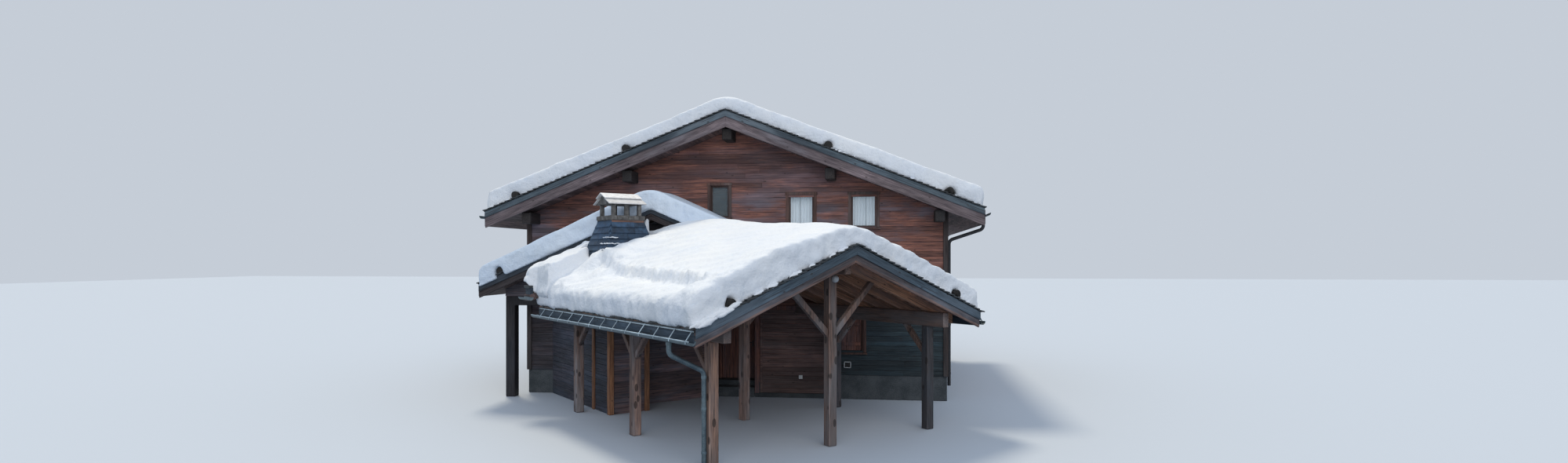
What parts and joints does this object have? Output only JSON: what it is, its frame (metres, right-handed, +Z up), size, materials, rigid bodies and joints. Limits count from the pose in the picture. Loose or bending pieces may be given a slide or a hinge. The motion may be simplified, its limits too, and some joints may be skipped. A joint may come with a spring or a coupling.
{
  "type": "alpine chalet",
  "caption": "Snow-covered alpine chalet with a boarded gable house, a turned open timber carport, a low annex gable and a shingled chimney.",
  "frame": {"origin": "on the ground at the middle of the main house's footprint", "axes": "+Z up, +Y from the main gable front to the back, +X to the right seen from the front"},
  "size_m": [13.7, 19.0444, 8.0689],
  "materials": {
    "siding": "dark weathered red-brown boards, matt",
    "barge_boards": "weathered boards, matt",
    "roof_boards": "stained boards under dark tiles, matt",
    "frame_timber": "weathered squared timber, matt",
    "weathered_boards": "grey weathered boards, matt",
    "shingles": "grey split shingles, matt",
    "shutter": "painted boards, matt",
    "door_timber": "stained boards, satin",
    "garage_timber": "stained boards, satin",
    "window_timber": "stained timber, satin",
    "floor_boards": "planed boards, satin",
    "logs": "round peeled logs, matt",
    "concrete": "grey concrete, matt",
    "sheet_metal": "weathered zinc sheet, satin",
    "iron": "black iron, satin",
    "glass": "clear window glass",
    "snow": "settled snow, matt white"
  },
  "bodies": {
    "house": {"annex_barge_boards": "barge_boards", "annex_gable_wall": "siding", "annex_roof": "roof_boards", "back_wall": "siding", "carport_barge_boards": "barge_boards", "carport_beams": "frame_timber", "carport_braces": "frame_timber", "carport_posts": "frame_timber", "carport_rafters": "frame_timber", "carport_roof_left": "roof_boards", "carport_roof_right": "roof_boards", "chimney_breast": "siding", "chimney_cap": "weathered_boards", "chimney_crown": "weathered_boards", "chimney_skirt": "shingles", "closed_shutter": "shutter", "downpipes": "sheet_metal", "entrance_frame": "door_timber", "entrance_linings": "siding", "entrance_steps": "concrete", "front_gable_wall": "siding", "front_walls": "siding", "garage_door": "garage_timber", "garage_lintel": "siding", "ground_floor": "concrete", "gutters": "sheet_metal", "hinge_pins": "iron", "main_barge_boards": "barge_boards", "main_purlins": "frame_timber", "main_roof_left": "roof_boards", "main_roof_right": "roof_boards", "plinth": "concrete", "porch_frame": "frame_timber", "side_walls": "siding", "snow_annex": "snow", "snow_carport": "snow", "snow_logs": "logs", "snow_main": "snow", "upper_floor": "floor_boards", "window_frames": "window_timber", "window_glass": "glass", "wing_roof": "roof_boards", "wing_walls": "siding"},
    "entrance_door": {"entrance_door": "door_timber", "door_handle": "iron"}
  },
  "joints": [
    {"name": "entrance_door_hinge", "type": "hinge", "parent": "house", "child": "entrance_door", "pos_m": [-0.358, -4.103, 1.435], "axis": [0, 0, 1], "range_deg": [0, 95]}
  ]
}
